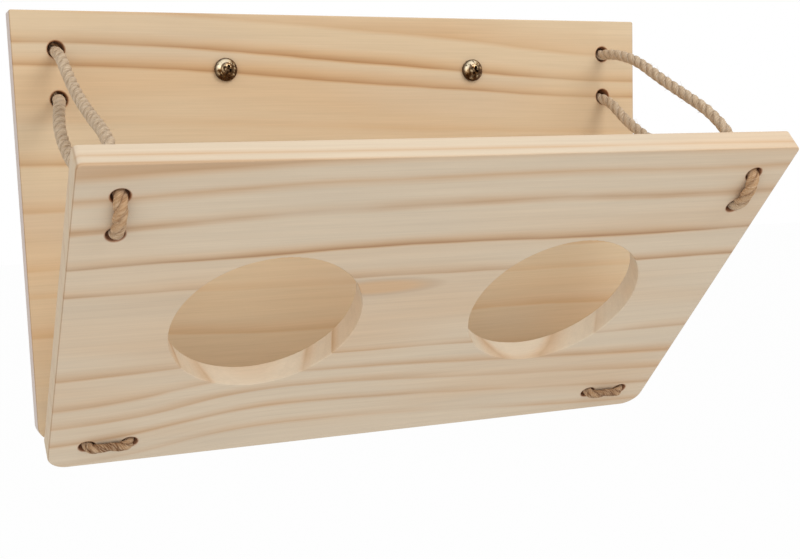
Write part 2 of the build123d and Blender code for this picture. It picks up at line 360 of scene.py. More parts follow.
# %% [markdown]
# ## Stopper knots
# Behind the back board each rope's end has an overhand knot that can't slip through the hole. The
# shape of a tight knot is hard to draw by eye. So the line starts as a loose one, and shrinks in
# small steps. At each step its points keep an even distance, resist bending, and stay one thickness
# from the rest of the line. A cloth simulation could do the same, but would be harder to stop.

# %% A knot pulled tight
KNOT_ROPE = 4.6 * MM  # the rope is squeezed a little in its knot
KNOT_THICKNESS = 0.88  # of that
KNOT_GAP = 0.34
KNOT_STEPS = 300
KNOT_LENGTH = 22.0  # of the whole line when it is tight, in rope thicknesses
KNOT_HALF = 1.62  # from the tight knot's middle to its ends
KNOT_TAIL = 8 * MM


def loose_overhand():
    """An overhand knot with room in it: three lobes, cut open and led out both ways."""
    cut = math.pi / 3
    turn = np.linspace(cut + 0.3, cut + 2 * math.pi - 0.3, 400)
    across = np.sin(turn) + 2 * np.sin(2 * turn)
    up = np.cos(turn) - 2 * np.cos(2 * turn)
    lobes = np.stack([across, up, -np.sin(3 * turn)], 1)
    out = np.array([math.cos(math.pi / 6), math.sin(math.pi / 6), 0.0])
    along = np.array([-out[1], out[0], 0.0])
    ends_in = np.array([0.6 * out + 7 * along, 4.4 * out + 1.2 * along])
    ends_out = np.array([4.4 * out - 1.2 * along, 0.6 * out - 7 * along])
    line = np.concatenate([ends_in, lobes, ends_out])
    line = line @ np.stack([out, -along, np.cross(out, -along)], 1)
    return line - [line[0][0], 0, 0]


def keep_gaps(line, gap):
    """Move neighbouring points so that they are the same gap apart."""
    for first in (0, 1):
        count = min(len(line[first:-1:2]), len(line[first + 1 :: 2]))
        step = line[first + 1 :: 2][:count] - line[first:-1:2][:count]
        length = np.linalg.norm(step, axis=1)[:, None]
        move = 0.5 * (1 - gap / np.maximum(length, 1e-9)) * step
        line[first : first + 2 * count : 2] += move
        line[first + 1 : first + 1 + 2 * count : 2] -= move


def keep_apart(line, gap):
    """Push points that aren't neighbours until they are one thickness apart."""
    index = np.arange(len(line))
    neighbours = math.ceil(1.45 * KNOT_THICKNESS / gap)
    apart = np.abs(index[:, None] - index[None, :]) > neighbours
    step = line[:, None, :] - line[None, :, :]
    length = np.sqrt((step * step).sum(2))
    near = apart & (length < KNOT_THICKNESS)
    push = np.where(near, 0.75 * (KNOT_THICKNESS - length) / np.maximum(length, 1e-6), 0.0)
    line += (push[:, :, None] * step).sum(1) / np.maximum(near.sum(1), 1)[:, None]


def tight_knot():
    """The middle line of a tight overhand knot, in metres, with its seat at y = 0."""
    line = even_steps(loose_overhand(), KNOT_GAP)
    ends = line[[0, -1]].copy()
    count = len(line) - 1
    loose_gap = steps_along(line)[-1] / count
    tight_gap = KNOT_LENGTH / count
    for step in range(KNOT_STEPS):
        share = min(1.0, (step + 1) / (0.6 * KNOT_STEPS))
        gap = loose_gap + (tight_gap - loose_gap) * share
        for _ in range(4):
            keep_gaps(line, gap)
            line[1:-1] += 0.1 * (0.5 * (line[:-2] + line[2:]) - line[1:-1])
            keep_apart(line, gap)
            line[[0, -1]] = ends
    half = len(line) // 2
    body = line[np.abs(line[:, 1]) < 1.2]
    middle = (body.min(0) + body.max(0)) / 2
    lead = np.clip((-0.9 - line[:half, 1]) / 0.7, 0, 1)[:, None]
    line[:half, ::2] += lead * (middle[::2] - line[:half, ::2])
    line -= [middle[0], -KNOT_HALF, middle[2]]
    line *= KNOT_ROPE
    first = np.argmax(line[:, 1] > -1.5 * MM)
    last = np.argmax(line[:, 1] > 2 * KNOT_HALF * KNOT_ROPE + KNOT_TAIL)
    return smooth_line(line[first:last:2].tolist())


knot_line = even_steps(tight_knot(), RING_STEP)
print("tight knot:", [round(float(v), 4) for v in knot_line.max(0) - knot_line.min(0)])

# %% [markdown]
# One line serves all the knots. Each knot is turned by its own angle about the rope and gets its
# own mesh, so that no two look alike.

# %% Eight knots
BACK_KNOTS = {
    "side_rope_upper_knot": (ROPE_X, 0.008, 20),
    "side_rope_lower_knot": (ROPE_X, -0.0125, 130),
    "bottom_tie_outer_knot": (ROPE_X, -0.147, 250),
    "bottom_tie_inner_knot": (INNER_X, -0.147, 75),
}
knots = {}
for side, sign in (("left", -1), ("right", 1)):
    for kind, (x, z, angle) in BACK_KNOTS.items():
        turned = Euler((0, math.radians(angle + 40 * sign), 0)).to_matrix()
        line = knot_line @ np.array(turned).T + np.array([sign * x, 0, z])
        name = f"{side}_{kind}"
        knot = rope_piece("jute_" + name, line, 10 + len(knots), frayed=True)
        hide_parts(name)
        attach(knot, "back")
        knots[name] = knot
print("knots:", len(knots), "of", len(knot.data.polygons), "faces")

# %% [markdown]
# ## The model's own ropes are hidden
# The front board tips towards the back one. The model's rope parts are hidden, and each new rope's
# place and turn are put into its mesh.

# %% Hide the model's ropes
for name, piece in ropes.items():
    line = rope_lines[name]
    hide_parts(name)
    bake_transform(piece)

# %% [markdown]
# ## Shaping metal by hand
# The screws, washers and wing nuts each start as a plain form, whose faces are picked by the way
# they face and pushed about. All are made on the y axis and copied to two places at the end.

# %% Helpers for shaping
SCREW_X = 0.060
ONTO_Y = (math.pi / 2, 0, 0)  # turns a bar from the z axis to the y axis
metal_pieces = {}


def choose(*pieces):
    """Make these the only selected pieces, and the last one the active one."""
    bpy.ops.object.select_all(action="DESELECT")
    for piece in pieces:
        piece.select_set(True)
    bpy.context.view_layer.objects.active = pieces[-1]


def work_on(piece, pick="DESELECT"):
    """Open this piece for editing, with nothing or everything selected."""
    choose(piece)
    bpy.ops.object.mode_set(mode="EDIT")
    bpy.ops.mesh.select_mode(type="VERT")
    bpy.ops.mesh.select_all(action=pick)


def done():
    """Close the piece that is open for editing."""
    bpy.ops.object.mode_set(mode="OBJECT")


def pick_faces(piece, wanted):
    """In edit mode, select only the faces that the test wants."""
    bpy.ops.mesh.select_mode(type="FACE")
    bpy.ops.mesh.select_all(action="DESELECT")
    shape = bmesh.from_edit_mesh(piece.data)
    for face in shape.faces:
        face.select_set(wanted(face))
    bmesh.update_edit_mesh(piece.data)


def settle(piece):
    """Put the piece's place, turn and size into its mesh."""
    choose(piece)
    bpy.ops.object.transform_apply(location=True, rotation=True, scale=True)


def fresh(primitive, **settings):
    """A new piece of a plain kind, made with nothing else selected."""
    bpy.ops.object.select_all(action="DESELECT")
    primitive(**settings)
    return bpy.context.object


def round_bar(radius, start, end, sides=64):
    """A plain round bar on the y axis, from y = start to y = end."""
    size = {"vertices": sides, "radius": radius, "depth": end - start}
    middle = (0, (start + end) / 2, 0)
    piece = fresh(bpy.ops.mesh.primitive_cylinder_add, **size, location=middle, rotation=ONTO_Y)
    settle(piece)
    return piece


def push(y, factor=1.0):
    """Extrude the picked faces along y, and size them about the y axis."""
    bpy.ops.mesh.extrude_region_move(TRANSFORM_OT_translate={"value": (0, y, 0)})
    if factor != 1.0:
        bpy.ops.transform.resize(value=(factor, 1, factor), center_override=(0, 0, 0))


def change(piece, kind, **settings):
    """Give the piece a modifier with these settings, and apply it."""
    modifier = piece.modifiers.new(kind.lower(), kind)
    for label, value in settings.items():
        setattr(modifier, label, value)
    choose(piece)
    bpy.ops.object.modifier_apply(modifier=modifier.name)


def cut_out(piece, cutter):
    """Take the cutter's form out of the piece, and delete the cutter."""
    change(piece, "BOOLEAN", operation="DIFFERENCE", solver="EXACT", object=cutter)
    bpy.data.objects.remove(cutter)


def join_to(piece, *others):
    """Make the others a part of the piece."""
    choose(*others, piece)
    bpy.ops.object.join()


def soften(piece, angle=35):
    """Shade the piece smooth, but keep edges that bend by more than the angle sharp."""
    choose(piece)
    bpy.ops.object.shade_smooth_by_angle(angle=math.radians(angle))


def pair_of(piece, kind):
    """The piece copied to the left and right screws' places, each on its own body."""
    for side, sign in (("left", -1), ("right", 1)):
        twin = piece.copy()
        twin.data = piece.data.copy()
        twin.name = f"{kind}_{side}"
        bpy.context.collection.objects.link(twin)
        twin.location = (sign * SCREW_X, 0, 0)
        settle(twin)
        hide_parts(f"{side}_{kind}")
        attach(twin, "back" if kind == "hanging_screw" else f"{side}_{kind}")
        metal_pieces[twin.name] = twin
    bpy.data.objects.remove(piece)


# %% [markdown]
# ## The hanging screws
# A pan head is a low dome on a short straight side. Its dome is drawn out of a disc's front face in
# rings that follow an arc, and the shank is drawn out of the back. The cross recess narrows towards
# its floor, as the driver's tip does, so its two cutting bars are tapered before they are taken out.

# %% Screw head and shank
HEAD_RADIUS = 5 * MM
HEAD_SIDE = 1.3 * MM
HEAD_DOME = 2.5 * MM
HEAD_SEAT = -0.010  # the back board's front face
THREAD_RADIUS = 2.5 * MM
CORE_RADIUS = 2.06 * MM
SCREW_TIP = 0.020
TIP_TAPER = 0.6 * MM
DOME_RINGS = (4.85, 4.5, 3.9, 3.2, 2.4, 1.5, 0.6)  # their radii in mm
RECESS_BAR = (5.6 * MM, 3.6 * MM, 1.5 * MM)  # half of its depth is in the head
RECESS_TURN = 24  # degrees, as the driver left it

screw = round_bar(HEAD_RADIUS, HEAD_SEAT - HEAD_SIDE, HEAD_SEAT, 96)
work_on(screw)
pick_faces(screw, lambda face: face.normal.y < -0.9)
dome_radius = (HEAD_RADIUS**2 + HEAD_DOME**2) / (2 * HEAD_DOME)
last_rise = 0.0
last_ring = HEAD_RADIUS
for ring in DOME_RINGS:
    rise = HEAD_DOME - dome_radius + math.sqrt(dome_radius**2 - (ring * MM) ** 2)
    push(last_rise - rise, ring * MM / last_ring)
    last_rise, last_ring = rise, ring * MM
pick_faces(screw, lambda face: face.normal.y > 0.9)
bpy.ops.mesh.inset(thickness=HEAD_RADIUS - CORE_RADIUS)
push(SCREW_TIP - HEAD_SEAT - TIP_TAPER)
push(TIP_TAPER, 0.72)
done()

head_top = HEAD_SEAT - HEAD_SIDE - HEAD_DOME
for turn in (0, 90):
    bar = fresh(bpy.ops.mesh.primitive_cube_add, size=1, location=(0, head_top, 0))
    bar.scale = RECESS_BAR
    settle(bar)
    work_on(bar)
    pick_faces(bar, lambda face: face.normal.y > 0.9)
    bpy.ops.transform.resize(value=(0.5, 1, 0.75), center_override=(0, head_top, 0))
    done()
    bar.rotation_euler = (0, math.radians(turn + RECESS_TURN), 0)
    settle(bar)
    cut_out(screw, bar)
print("screw head:", len(screw.data.polygons), "faces")

# %% [markdown]
# The thread is a three-sided rib wound along the core. The Screw modifier winds any outline round
# an axis while it climbs. It leaves both ends of the rib open, so they are filled afterwards.

# %% The thread
PITCH = 0.8 * MM
THREAD_TURNS = 36
THREAD_START = 0.4 * MM  # from the head's seat
RIB_RADIUS = 0.46 * MM

size = {"vertices": 3, "radius": RIB_RADIUS}
place = (THREAD_RADIUS - RIB_RADIUS, HEAD_SEAT + THREAD_START, 0)
corner_out = (0, 0, -math.pi / 2)
rib = fresh(bpy.ops.mesh.primitive_circle_add, **size, location=place, rotation=corner_out)
settle(rib)
winding = {"axis": "Y", "screw_offset": PITCH, "iterations": THREAD_TURNS}
facets = {"steps": 24, "render_steps": 24, "use_merge_vertices": False}
change(rib, "SCREW", **winding, **facets)
work_on(rib, "SELECT")
bpy.ops.mesh.fill_holes(sides=3)
bpy.ops.mesh.select_all(action="SELECT")
bpy.ops.mesh.normals_make_consistent(inside=False)
done()
rib_box = [max(v.co[i] for v in rib.data.vertices) for i in range(3)]
print("thread reaches", [round(v * 1000, 2) for v in rib_box], "mm")
join_to(screw, rib)
soften(screw)
pair_of(screw, "hanging_screw")

# %% [markdown]
# ## The washers
# A stamped washer is a flat ring whose edges are a little rounded, since it is tumbled before it is
# plated. It starts as a circle of edges that is drawn inwards to the bore and given its thickness.

# %% Washers
WASHER_RADIUS = 12.5 * MM
WASHER_BORE = 2.58 * MM
WASHER_START = 0.006
WASHER_THICKNESS = 1.5 * MM
WASHER_ROUNDING = 0.3 * MM

size = {"vertices": 96, "radius": WASHER_RADIUS}
middle = (0, WASHER_START + WASHER_THICKNESS / 2, 0)
washer = fresh(bpy.ops.mesh.primitive_circle_add, **size, location=middle, rotation=ONTO_Y)
settle(washer)
work_on(washer, "SELECT")
bpy.ops.mesh.extrude_region_move()
shrink = WASHER_BORE / WASHER_RADIUS
bpy.ops.transform.resize(value=(shrink, 1, shrink), center_override=(0, 0, 0))
done()
change(washer, "SOLIDIFY", thickness=WASHER_THICKNESS, offset=0)
change(washer, "BEVEL", width=WASHER_ROUNDING, segments=3, limit_method="ANGLE")
soften(washer, 50)
print("washer:", len(washer.data.polygons), "faces")
pair_of(washer, "washer")

# %% [markdown]
# ## The wing nuts
# A cast wing nut has no sharp corner except its seat and its bore: the wings grow out of the hub.
# Each wing is the skin stretched over a small and a large disc. The hub and wings are merged by a
# fine voxel remesh, then smoothed, which leaves the soft fillets of a casting. The bore and the seat
# are cut last, so that they stay crisp.

# %% Wing nuts
NUT_SEAT = 0.0076
NUT_HEIGHT = 6 * MM
HUB_RADIUS = 5 * MM
HUB_TAPER = (0.85, 1, 0.85)
WING_ROOT = (2.5 * MM, 3 * MM, 2.3 * MM, 3.6 * MM)  # x, y, radius and thickness
WING_LOBE = (9.0 * MM, 9.0 * MM, 4.0 * MM, 2.3 * MM)
NUT_BORE = 2.55 * MM
NUT_VOXEL = 0.3 * MM

nut = round_bar(HUB_RADIUS, NUT_SEAT - 1 * MM, NUT_SEAT + NUT_HEIGHT)
work_on(nut)
pick_faces(nut, lambda face: face.normal.y > 0.9)
bpy.ops.transform.resize(value=HUB_TAPER, center_override=(0, NUT_SEAT + NUT_HEIGHT, 0))
done()
wings = []
for sign in (-1, 1):
    discs = []
    for x, y, radius, thickness in (WING_ROOT, WING_LOBE):
        size = {"vertices": 48, "radius": radius, "depth": thickness}
        place = (sign * x, NUT_SEAT + y, 0)
        disc = fresh(bpy.ops.mesh.primitive_cylinder_add, **size, location=place)
        settle(disc)
        discs.append(disc)
    join_to(*discs)
    work_on(discs[0], "SELECT")
    bpy.ops.mesh.convex_hull()
    done()
    wings.append(discs[0])
join_to(nut, *wings)
change(nut, "REMESH", mode="VOXEL", voxel_size=NUT_VOXEL)
change(nut, "SMOOTH", factor=0.5, iterations=9)
cut_out(nut, round_bar(16 * MM, NUT_SEAT - 4 * MM, NUT_SEAT, 32))  # all below the seat
cut_out(nut, round_bar(NUT_BORE, NUT_SEAT - 6 * MM, NUT_SEAT + 20 * MM, 48))
work_on(nut, "SELECT")
bpy.ops.mesh.remove_doubles(threshold=0.01 * MM)  # slivers that the cuts left
done()
soften(nut, 40)
print("wing nut:", len(nut.data.polygons), "faces")
pair_of(nut, "wing_nut")

# %% [markdown]
# ## Helpers for finishes
# A finish is a small network: each node takes numbers in and gives numbers out. The helpers add one
# node and fill its inputs. A share is a number from 0 to 1 that says how much of something shows.

# %% Finish helpers


def colour(red, green, blue):
    """A colour as it is seen on a screen, 0 to 255, as the numbers that a shader takes."""
    shares = [v / 255 for v in (red, green, blue)]
    linear = [v / 12.92 if v <= 0.04045 else ((v + 0.055) / 1.055) ** 2.4 for v in shares]
    return (*linear, 1)


def new_finish(name, roughness, metallic=0.0, level=0.5):
    """A finish with one surface shader: its node tree and the shader."""
    finish = bpy.data.materials.new(name)
    finish.use_nodes = True
    shader = finish.node_tree.nodes["Principled BSDF"]
    shader.inputs["Roughness"].default_value = roughness
    shader.inputs["Metallic"].default_value = metallic
    shader.inputs["Specular IOR Level"].default_value = level
    return finish, finish.node_tree, shader


def add(tree, kind, inputs=(), **settings):
    """A new node with its inputs filled: each is a value, or another node's output."""
    node = tree.nodes.new("ShaderNode" + kind)
    for label, value in settings.items():
        setattr(node, label, value)
    for place, value in dict(inputs).items():
        if isinstance(value, bpy.types.NodeSocket):
            tree.links.new(value, node.inputs[place])
        else:
            node.inputs[place].default_value = value
    return node


def sums(tree, operation, *values, clamp=False):
    """The result of one sum."""
    node = add(tree, "Math", enumerate(values), operation=operation, use_clamp=clamp)
    return node.outputs[0]


def times(tree, first, second):
    """One value times another."""
    return sums(tree, "MULTIPLY", first, second)


def mix(tree, share, first, second, kind="MIX"):
    """Two colours blended by a share from 0 to 1."""
    inputs = {0: share, 6: first, 7: second}
    node = add(tree, "Mix", inputs, data_type="RGBA", blend_type=kind)
    return node.outputs[2]


def lay_over(tree, base, share, amount, tone):
    """The base colour with a share of up to this amount of a tone laid over it."""
    return mix(tree, times(tree, share, amount), base, tone)


def opposite(tree, share):
    """1 where the share is 0, and 0 where it is 1."""
    return sums(tree, "SUBTRACT", 1.0, share)


def length_of(tree, *places):
    """The distance from the middle to the point at these places along x, y and z."""
    spoke = add(tree, "CombineXYZ", enumerate(places)).outputs[0]
    return add(tree, "VectorMath", {0: spoke}, operation="LENGTH").outputs["Value"]


def noise(tree, vector, scale, detail=2.0, roughness=0.5):
    """Noise from 0 to 1 whose grain is long where the scale is small."""
    place = add(tree, "Mapping", {"Vector": vector, "Scale": scale}).outputs[0]
    inputs = {"Vector": place, "Scale": 1.0, "Detail": detail, "Roughness": roughness}
    return add(tree, "TexNoise", inputs).outputs["Fac"]


def ramp(tree, share, stops, how="LINEAR"):
    """A change of grey along a share, given as (share, grey) stops."""
    node = add(tree, "ValToRGB", {0: share})
    node.color_ramp.interpolation = how
    elements = node.color_ramp.elements
    while len(elements) < len(stops):
        elements.new(1.0)
    for element, (place, _) in zip(elements, stops):
        element.position = place
    for element, (_, grey) in zip(elements, stops):
        element.color = (grey, grey, grey, 1)
    return node.outputs[0]


def between(tree, value, low, high):
    """0 below low, 1 above high, and smooth in between."""
    inputs = {0: value, 1: low, 2: high}
    node = add(tree, "MapRange", inputs, interpolation_type="SMOOTHSTEP", clamp=True)
    return node.outputs[0]


def wire(tree, shader, base, rough, height, strength, distance):
    """Give the shader its colour, its roughness (or None) and a bump of this distance."""
    bump = add(tree, "Bump", {"Strength": strength, "Distance": distance, "Height": height})
    ends = {"Base Color": base, "Roughness": rough, "Normal": bump.outputs[0]}
    for label, output in ends.items():
        if output is not None:
            tree.links.new(output, shader.inputs[label])


def dress(piece, finish):
    """Make this finish the piece's only one."""
    piece.data.materials.clear()
    piece.data.materials.append(finish)


# %% [markdown]
# ## Pine
# A board shows the tree's growth rings where the saw cut through them. A flat picture of stripes
# would not meet itself round the board's edges and in the holes. So the finish is a solid one: it
# knows how far each point is from the heart of the log, in the board's own directions, and darkens
# where a ring ends. Each ring darkens slowly and stops sharply, as summer wood does before winter.
# The rings' heights on each board's face are measured from its bottom edge, and the rises say how
# far the rings climb or dip along the board.

# %% The boards' own directions and rings
FRONT_FOOT = Vector((0, -0.012475, -0.168374))  # middle of the front face's bottom edge
BACK_FOOT = Vector((0, -0.010, -0.156))
FRONT_TURN = math.radians(-135)
BACK_TURN = math.radians(-90)
HALF_BOARD = 0.15
FRONT_HALF = 0.148
FRONT_HEART = (0.183, 0.045)  # the log's heart: height above the foot, and distance from the face
BACK_HEART = (0.2, 0.045)
RING_REACH = 0.24  # the furthest ring from the log's heart
RING_END = 0.45 * MM  # a ring ends within this distance
MOST_RISE = 0.02
LOWER_PART = (0.042, 0.075)  # the lower rises fade out between these heights
UPPER_PART = (0.095, 0.168)  # the upper rises set in between these
SWAY = 3 * MM  # how far a ring wanders slowly, and how far it ripples
RIPPLE = 0.6 * MM
FINE_RING = 3.7 * MM  # the faint rings between the drawn ones are this far apart
HOLE_SHADE_FADE = (3.5 * MM, 4.3 * MM)  # the painted brown shade in the holes fades between these distances from a hole's middle
ASH_TONE = colour(200, 186, 166)
HOLE_SHADE_TONE = colour(150, 88, 46)

# (height on the face in mm, darkness from 0 to 1, share of the ring that darkens)
FRONT_RINGS = [
    (171.5, 0.75, 0.75),
    (160.5, 0.85, 0.45),
    (146.5, 1.0, 0.42),
    (127.5, 0.95, 0.3),
    (112.6, 0.9, 0.34),
    (64.5, 0.75, 0.12),
    (50.0, 0.8, 0.45),
    (38.0, 0.7, 0.5),
    (25.5, 0.8, 0.4),
    (11.0, 0.65, 0.35),
]
BACK_RINGS = [
    (172.5, 0.6, 0.7),
    (158.5, 0.95, 0.5),
    (149.5, 0.9, 0.7),
    (129.0, 0.35, 0.2),
    (114.0, 0.85, 0.4),
    (98.0, 0.65, 0.35),
    (72.5, 0.55, 0.25),
    (60.0, 0.45, 0.3),
    (41.0, 0.55, 0.3),
    (20.0, 0.5, 0.3),
]
# (place along the board in mm, rise in mm), for the upper and the lower part of a board
FRONT_RISES = (
    [(-150, 0), (-100, 3.5), (-50, 6.5), (0, 7.5), (52, 8), (102, 6.5), (150, 8)],
    [(-150, -9), (-112, -6), (-78, 5), (-42, 8), (27, 2), (90, -3), (150, -7)],
)
BACK_RISES = (
    [(-150, 8), (-100, 7), (-50, 3.5), (0, 0.5), (50, -2), (100, -7), (150, -10)],
    [(-150, 3), (-90, 0), (-40, -3), (0, -2), (50, 2), (100, 3), (150, 0)],
)
# Where the saw skimmed a ring: middle along the board, height, half length and half height, in mm.
FRONT_FLAME = (-22, 107.5, 26, 5.0)
BACK_FLAME = (86, 121, 30, 4.0)
# Drilled holes' places in mm: along the board either way from its middle, and height on its face.
FRONT_HOLES = [(132, 165), (132, 146), (132, 14.5), (114, 14.5)]
BACK_HOLES = [(132, 164), (132, 143.5), (132, 9), (114, 9)]


def ring_stops(rings, heart_up, heart_out):
    """Where the rings lie from the log's heart, as stops for a ramp."""
    stops = []
    last = 0.0
    for height, darkness, share in rings:
        reach = math.hypot(heart_up - height * MM, heart_out)
        start = max(reach - share * (reach - last), last + 2 * RING_END) if last else reach * 0.9
        stops.append((start / RING_REACH, 0.0))
        stops.append((reach / RING_REACH, darkness))
        stops.append(((reach + RING_END) / RING_REACH, 0.0))
        last = reach
    return stops


def rise_along(tree, along, rises):
    """The rings' rise in metres at a place along the board."""
    share = sums(tree, "MULTIPLY_ADD", along, 0.5 / HALF_BOARD, 0.5)
    stops = []
    for place, rise in rises:
        stops.append((0.5 + place * MM / (2 * HALF_BOARD), 0.5 + rise * MM / (2 * MOST_RISE)))
    grey = ramp(tree, share, stops, "B_SPLINE")
    return sums(tree, "MULTIPLY_ADD", grey, 2 * MOST_RISE, -MOST_RISE)


def flame_share(tree, along, height, flame):
    """How far inside a long oval each point is: below 1 is inside."""
    middle, level, length, thickness = [v * MM for v in flame]
    across = sums(tree, "DIVIDE", sums(tree, "SUBTRACT", along, middle), length)
    up = sums(tree, "DIVIDE", sums(tree, "SUBTRACT", height, level), thickness)
    return length_of(tree, across, up)


def painted_hole_shade(tree, along, height, holes):
    """Painted brown shade: 1 on the walls of the drilled holes, fading out just past their mouths.
    """
    either_way = sums(tree, "ABSOLUTE", along)
    point = add(tree, "CombineXYZ", {0: either_way, 1: height}).outputs[0]
    nearest = 1.0
    for across, up in holes:
        place = (across * MM, up * MM, 0)
        gap = add(tree, "VectorMath", {0: point, 1: place}, operation="DISTANCE").outputs["Value"]
        nearest = sums(tree, "MINIMUM", nearest, gap)
    return opposite(tree, between(tree, nearest, *HOLE_SHADE_FADE))


def from_heart(tree, axes, ripple, sway, heart, rises):
    """How far each point is from the log's heart, with the rings' rises, sway and ripple."""
    high = rise_along(tree, axes[0], rises[0])
    high = times(tree, high, between(tree, axes[1], *UPPER_PART))
    low = rise_along(tree, axes[0], rises[1])
    low = times(tree, low, opposite(tree, between(tree, axes[1], *LOWER_PART)))
    up = sums(tree, "SUBTRACT", axes[1], heart[0])
    for operation, rise in (("SUBTRACT", high), ("SUBTRACT", low), ("ADD", sway), ("ADD", ripple)):
        up = sums(tree, operation, up, rise)
    return length_of(tree, 0.0, up, sums(tree, "SUBTRACT", axes[2], heart[1]))


def end_shares(tree, along, half):
    """Where the board's sawn ends show, and the painted shade on the rounded edges round them."""
    facing = add(tree, "NewGeometry").outputs["Normal"]
    slope = sums(tree, "ABSOLUTE", add(tree, "SeparateXYZ", {0: facing}).outputs[0])
    at_end = between(tree, sums(tree, "ABSOLUTE", along), half - 1.2 * MM, half - 0.4 * MM)
    sawn = between(tree, slope, 0.6, 0.95)
    # Painted shade on the rounded edges next to the sawn ends.
    arris_shade = sums(tree, "SUBTRACT", between(tree, slope, 0.1, 0.5), between(tree, slope, 0.7, 0.97))
    return [times(tree, share, at_end) for share in (sawn, arris_shade)]


def pine(name, board, growth, tones, holes, seed):
    """Planed pine. tones are the pale wood, the ring lines, the warm patches and the end grain."""
    turn, foot, half = board
    heart, rings, rises, flame = growth
    pale, dark, warm, end = [colour(*tone) for tone in tones]
    finish, tree, shader = new_finish(name, 0.58, level=0.3)
    middle = -(Euler((turn, 0, 0)).to_matrix() @ foot)
    point = add(tree, "TexCoord").outputs["Object"]
    inputs = {"Vector": point, "Location": middle, "Rotation": (turn, 0, 0)}
    place = add(tree, "Mapping", inputs).outputs[0]
    shifted = add(tree, "VectorMath", {0: place, 1: (seed, seed, seed)}).outputs[0]
    axes = add(tree, "SeparateXYZ", {0: place}).outputs

    sway = noise(tree, shifted, (5, 18, 18), 1.0)
    sway = sums(tree, "MULTIPLY_ADD", sway, 2 * SWAY, -SWAY)
    ripple = noise(tree, shifted, (28, 80, 80), 2.0)
    ripple = sums(tree, "MULTIPLY_ADD", ripple, 2 * RIPPLE, -RIPPLE)
    reach = from_heart(tree, axes, ripple, sway, heart, rises)
    ring = ramp(tree, sums(tree, "DIVIDE", reach, RING_REACH), ring_stops(rings, *heart))

    strength = noise(tree, shifted, (11, 45, 45), 2.0)
    strength = sums(tree, "MULTIPLY_ADD", strength, 2.2, -0.45, clamp=True)
    glow = times(tree, ring, strength)
    line = sums(tree, "POWER", ring, 3.4)
    line = times(tree, line, sums(tree, "MULTIPLY_ADD", strength, 0.75, 0.25))
    fine = sums(tree, "SINE", times(tree, reach, 2 * math.pi / FINE_RING))
    fine = between(tree, fine, 0.2, 1.0)
    fine = times(tree, fine, noise(tree, shifted, (4, 50, 50), 2.0))
    fibre = noise(tree, shifted, (24, 1700, 1700), 3.0, 0.6)
    streak = noise(tree, shifted, (9, 220, 220), 3.0, 0.6)
    patch = between(tree, noise(tree, shifted, (4, 26, 26), 2.0), 0.42, 0.7)
    ash = between(tree, noise(tree, shifted, (7, 34, 30), 1.0), 0.5, 0.75)
    inside = flame_share(tree, axes[0], sums(tree, "ADD", axes[1], ripple), flame)
    filled = opposite(tree, between(tree, inside, 0.5, 1.05))
    rim_start, rim_end = between(tree, inside, 0.5, 0.95), between(tree, inside, 0.95, 1.25)
    rim = sums(tree, "SUBTRACT", rim_start, rim_end)
    sawn, arris_shade = end_shares(tree, axes[0], half)
    hole_shade = painted_hole_shade(tree, axes[0], axes[1], holes)

    base = pale
    for share, amount, tone in (
        (patch, 0.28, warm),
        (ash, 0.3, ASH_TONE),
        (fine, 0.05, dark),
        (glow, 0.85, warm),
        (glow, 0.08, dark),
        (line, 0.9, dark),
        (filled, 0.55, warm),
        (rim, 0.16, dark),
        (sawn, 0.55, end),
        # painted shade on the rounded edges at the board's ends
        (arris_shade, 0.5, dark),
        # painted brown shade in the drilled holes
        (hole_shade, 0.8, HOLE_SHADE_TONE),
    ):
        base = lay_over(tree, base, share, amount, tone)
    grain = sums(tree, "MULTIPLY_ADD", sums(tree, "ADD", fibre, streak), 0.17, 0.83)
    grey = add(tree, "CombineColor", {0: grain, 1: grain, 2: grain}).outputs[0]
    base = mix(tree, 1.0, base, grey, "MULTIPLY")
    rough = sums(tree, "MULTIPLY_ADD", ring, -0.1, 0.6)
    height = sums(tree, "MULTIPLY_ADD", fibre, 0.6, times(tree, line, 0.4))
    wire(tree, shader, base, rough, height, 0.3, 0.12 * MM)
    return finish


front_pine = pine(
    "front_pine",
    (FRONT_TURN, FRONT_FOOT, FRONT_HALF),
    (FRONT_HEART, FRONT_RINGS, FRONT_RISES, FRONT_FLAME),
    ((215, 197, 172), (138, 92, 50), (208, 162, 112), (202, 178, 144)),
    FRONT_HOLES,
    3.7,
)
back_pine = pine(
    "back_pine",
    (BACK_TURN, BACK_FOOT, HALF_BOARD),
    (BACK_HEART, BACK_RINGS, BACK_RISES, BACK_FLAME),
    # The back board's lavender grey end grain tone is painted bluish shade on its sawn ends.
    ((213, 189, 155), (148, 104, 60), (206, 156, 100), (206, 200, 206)),
    BACK_HOLES,
    1.3,
)
dress(nodes["front_board"], front_pine)
dress(nodes["back_board"], back_pine)
print("rings on the boards:", len(FRONT_RINGS), len(BACK_RINGS))

# %% [markdown]
# ## Jute
# Jute fibre is pale and matt. The grooves between the strands get painted shade, so the finish
# reads how deep in the rope each point lies. The yarns' fibres run along the strand, so their grain
# follows the strand's own length and turn. A rope is browner in the middle of its length.

# %% Jute
FIBRE_SLANT = 140.0  # turns round the strand in a metre
TINT_STEP = 7.0  # puts each strand's grain in another place


